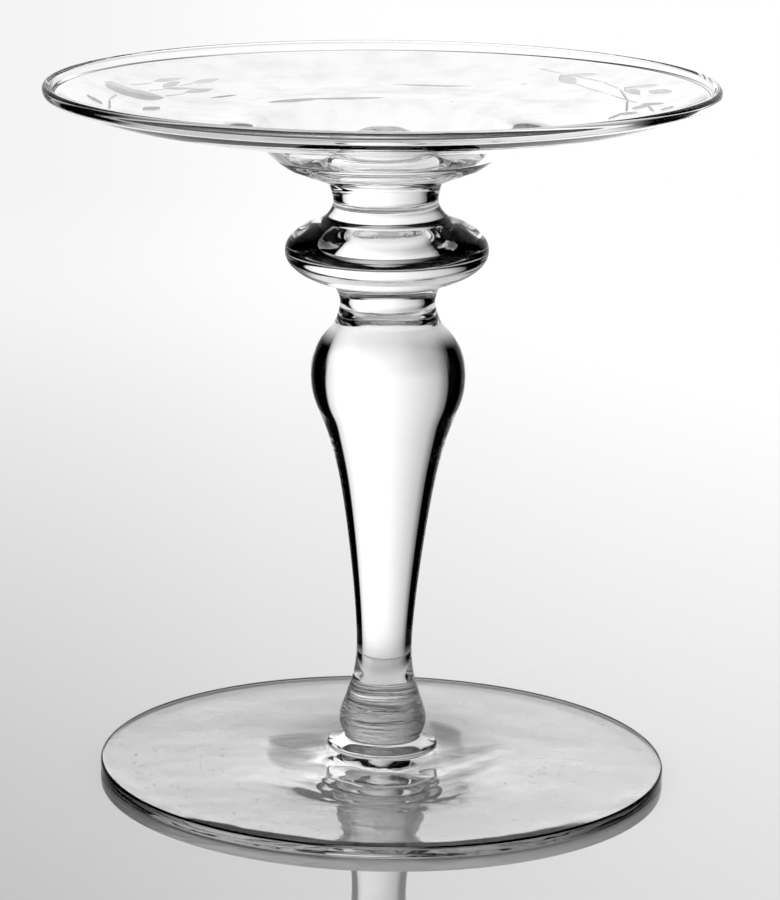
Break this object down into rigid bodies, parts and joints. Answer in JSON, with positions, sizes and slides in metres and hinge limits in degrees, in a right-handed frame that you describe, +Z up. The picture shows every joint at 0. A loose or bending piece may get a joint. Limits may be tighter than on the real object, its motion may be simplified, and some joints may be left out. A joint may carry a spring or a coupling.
{
  "type": "crystal pillar candle holder",
  "caption": "Clear glass pillar candle holder: a shallow lipped dish on a knopped baluster stem and a wide round foot.",
  "frame": {"origin": "on the floor, under the middle of the dish", "axes": "+Z up, -Y towards the viewer of the picture, +X to the viewer's right"},
  "size_m": [0.152, 0.152, 0.1615],
  "materials": {
    "clear_glass": "clear, fire-polished"
  },
  "bodies": {
    "root": {"foot_disc": "clear_glass", "foot_wafer": "clear_glass", "foot_button": "clear_glass", "baluster_stem": "clear_glass", "lower_neck": "clear_glass", "knop": "clear_glass", "upper_neck": "clear_glass", "plate_boss": "clear_glass", "plate": "clear_glass"}
  },
  "joints": []
}
